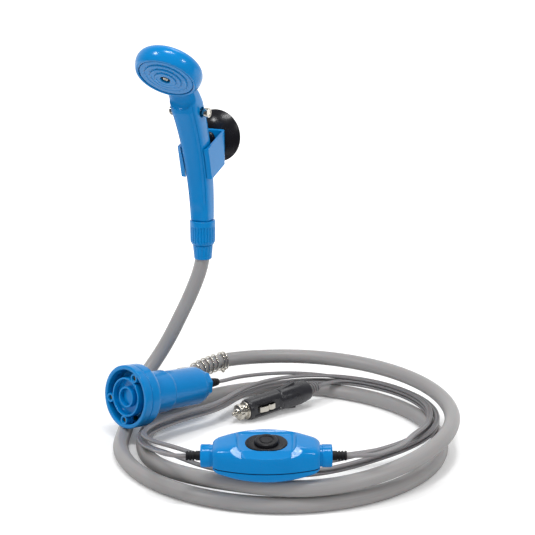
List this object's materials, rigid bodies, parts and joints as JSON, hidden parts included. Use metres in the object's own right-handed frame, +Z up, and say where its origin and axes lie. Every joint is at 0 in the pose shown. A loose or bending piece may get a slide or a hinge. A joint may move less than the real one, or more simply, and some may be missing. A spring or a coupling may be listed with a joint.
{
  "type": "camp shower pump set",
  "caption": "Low-voltage camp shower set: submersible pump on a coiled hose, hand shower with flow pin and suction-cup holder, in-line push switch and lighter plug.",
  "frame": {"origin": "on the floor, under the middle of the hose coil", "axes": "+Z up; the hand shower faces -Y and its suction cup faces +Y; +X to the right as seen from the front"},
  "size_m": [0.3306, 0.3196, 0.364],
  "materials": {
    "blue_abs": "glossy moulded plastic",
    "black_plastic": "satin moulded plastic",
    "black_rubber": "soft matt rubber",
    "grey_pvc": "soft satin vinyl",
    "chromed_steel": "bright plated",
    "plain_steel": "plain",
    "ferrite": "sintered, dull",
    "brass": "machined",
    "fuse_glass": "clear tube with plated caps"
  },
  "bodies": {
    "set": {"handset_body": "blue_abs", "spray_plate": "blue_abs", "plate_gasket": "black_rubber", "plate_screw": "chromed_steel", "hose_tail": "black_plastic", "tail_washer": "black_rubber", "hose_sleeve": "blue_abs", "inlet_cover": "blue_abs", "cover_screws": "brass", "pump_bell": "blue_abs", "shaft_seal": "black_rubber", "pump_shell": "blue_abs", "front_bearing": "brass", "motor_can": "plain_steel", "motor_magnets": "ferrite", "motor_brushes": "black_plastic", "brush_plate": "black_plastic", "rear_bearing": "brass", "rear_cap": "blue_abs", "cable_gland": "black_rubber", "outlet_tube": "blue_abs", "hose_cuff": "grey_pvc", "kink_spring": "chromed_steel", "hose_clip": "chromed_steel", "hose_lead": "grey_pvc", "hose_coil": "grey_pvc", "hose_riser": "grey_pvc", "cable_lead_pump": "grey_pvc", "cable_coil_pump": "grey_pvc", "cable_lead_in": "grey_pvc", "cable_lead_out": "grey_pvc", "cable_coil_plug": "grey_pvc", "cable_lead_plug": "grey_pvc", "switch_upper": "blue_abs", "switch_lower": "blue_abs", "switch_screws": "plain_steel", "switch_plate": "black_plastic", "switch_module": "black_plastic", "button_spring": "plain_steel", "relief_left": "black_rubber", "relief_right": "black_rubber", "plug_body": "black_plastic", "plug_nose": "chromed_steel", "tip_spring": "plain_steel", "plug_fuse": "fuse_glass", "plug_relief": "grey_pvc"},
    "flow_pin": {"flow_pin": "chromed_steel", "flow_pin_cap": "chromed_steel", "pin_seals": "black_rubber"},
    "hose_nut": {"hose_nut": "blue_abs"},
    "holder": {"holder_bracket": "blue_abs"},
    "cup": {"suction_cup": "black_rubber"},
    "rotor": {"motor_shaft": "plain_steel", "impeller": "black_plastic", "armature": "brass", "commutator": "brass"},
    "button": {"switch_button": "black_plastic"},
    "tip": {"plug_tip": "chromed_steel"},
    "contact_front": {"side_contact_front": "chromed_steel"},
    "contact_back": {"side_contact_back": "chromed_steel"}
  },
  "joints": [
    {"name": "flow_pin_slide", "type": "slide", "parent": "set", "child": "flow_pin", "axis": [1, 0, 0], "range_m": [-0.006, 0]},
    {"name": "hose_nut_turn", "type": "hinge", "parent": "set", "child": "hose_nut", "pos_m": [-0.112, 0.0635, 0.178], "axis": [0, 0, 1], "continuous": true},
    {"name": "holder_slide", "type": "slide", "parent": "set", "child": "holder", "axis": [0, -0.2308, 0.973], "range_m": [-0.025, 0]},
    {"name": "cup_swivel", "type": "hinge", "parent": "holder", "child": "cup", "pos_m": [-0.112, 0.0824, 0.267], "axis": [0, 1, 0], "continuous": true},
    {"name": "rotor_spin", "type": "hinge", "parent": "set", "child": "rotor", "pos_m": [-0.1346, -0.051, 0.044], "axis": [0.3229, 0.9376, -0.1288], "continuous": true},
    {"name": "button_press", "type": "slide", "parent": "set", "child": "button", "axis": [-0.0734, 0.1574, -0.9848], "range_m": [0, 0.002], "stiffness_N_per_m": 400},
    {"name": "tip_press", "type": "slide", "parent": "set", "child": "tip", "axis": [0.4913, 0.8683, 0.068], "range_m": [0, 0.003], "stiffness_N_per_m": 800},
    {"name": "contact_front_press", "type": "slide", "parent": "set", "child": "contact_front", "axis": [-0.8704, 0.4924, 0], "range_m": [0, 0.0015], "stiffness_N_per_m": 1200},
    {"name": "contact_back_press", "type": "slide", "parent": "set", "child": "contact_back", "axis": [0.8704, -0.4924, 0], "range_m": [0, 0.0015], "stiffness_N_per_m": 1200}
  ]
}
